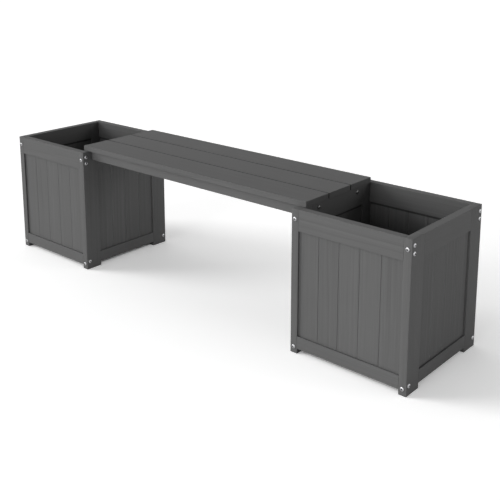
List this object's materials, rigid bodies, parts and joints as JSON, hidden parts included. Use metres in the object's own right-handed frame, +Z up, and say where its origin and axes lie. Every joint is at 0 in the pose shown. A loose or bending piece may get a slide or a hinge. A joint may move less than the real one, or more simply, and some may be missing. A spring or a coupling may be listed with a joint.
{
  "type": "bench with planters",
  "caption": "Straight backless garden bench of painted timber whose seat spans two square slatted planter boxes open at the top.",
  "frame": {"origin": "on the ground, under the middle of the bench's bounding box", "axes": "+X along the bench, +Z up, -Y towards the front that the picture shows"},
  "size_m": [1.7672, 0.4052, 0.4682],
  "materials": {
    "frame_paint": "matt dark grey paint on planed timber, grain showing faintly",
    "cladding_paint": "matt dark grey paint on vertical boards",
    "seat_paint": "matt to satin dark grey paint on planed boards",
    "inside_paint": "dull dark grey paint or stain",
    "zinc_steel": "bright zinc plated, satin"
  },
  "bodies": {
    "root": {"left_post_outer_front": "frame_paint", "left_post_outer_back": "frame_paint", "left_post_inner_front": "frame_paint", "left_post_inner_back": "frame_paint", "left_top_rail_front": "frame_paint", "left_bottom_rail_front": "frame_paint", "left_cladding_front": "cladding_paint", "left_top_rail_back": "frame_paint", "left_bottom_rail_back": "frame_paint", "left_cladding_back": "cladding_paint", "left_top_rail_inner": "frame_paint", "left_bottom_rail_inner": "frame_paint", "left_cladding_inner": "cladding_paint", "left_top_rail_outer": "frame_paint", "left_bottom_rail_outer": "frame_paint", "left_cladding_outer": "cladding_paint", "left_floor_cleat_outer": "inside_paint", "left_floor_cleat_inner": "inside_paint", "left_floor_board_1": "inside_paint", "left_floor_board_2": "inside_paint", "left_floor_board_3": "inside_paint", "left_floor_board_4": "inside_paint", "right_post_outer_front": "frame_paint", "right_post_outer_back": "frame_paint", "right_post_inner_front": "frame_paint", "right_post_inner_back": "frame_paint", "right_top_rail_front": "frame_paint", "right_bottom_rail_front": "frame_paint", "right_cladding_front": "cladding_paint", "right_top_rail_back": "frame_paint", "right_bottom_rail_back": "frame_paint", "right_cladding_back": "cladding_paint", "right_top_rail_inner": "frame_paint", "right_bottom_rail_inner": "frame_paint", "right_cladding_inner": "cladding_paint", "right_top_rail_outer": "frame_paint", "right_bottom_rail_outer": "frame_paint", "right_cladding_outer": "cladding_paint", "right_floor_cleat_outer": "inside_paint", "right_floor_cleat_inner": "inside_paint", "right_floor_board_1": "inside_paint", "right_floor_board_2": "inside_paint", "right_floor_board_3": "inside_paint", "right_floor_board_4": "inside_paint", "seat_board_front": "seat_paint", "seat_board_middle": "seat_paint", "seat_board_back": "seat_paint", "seat_apron_front": "frame_paint", "seat_apron_back": "frame_paint", "seat_end_batten_left": "frame_paint", "seat_end_batten_right": "frame_paint", "seat_cross_batten_left": "frame_paint", "seat_cross_batten_right": "frame_paint", "seat_bolt_left_front": "zinc_steel", "seat_bolt_left_back": "zinc_steel", "seat_bolt_right_front": "zinc_steel", "seat_bolt_right_back": "zinc_steel"}
  },
  "joints": []
}
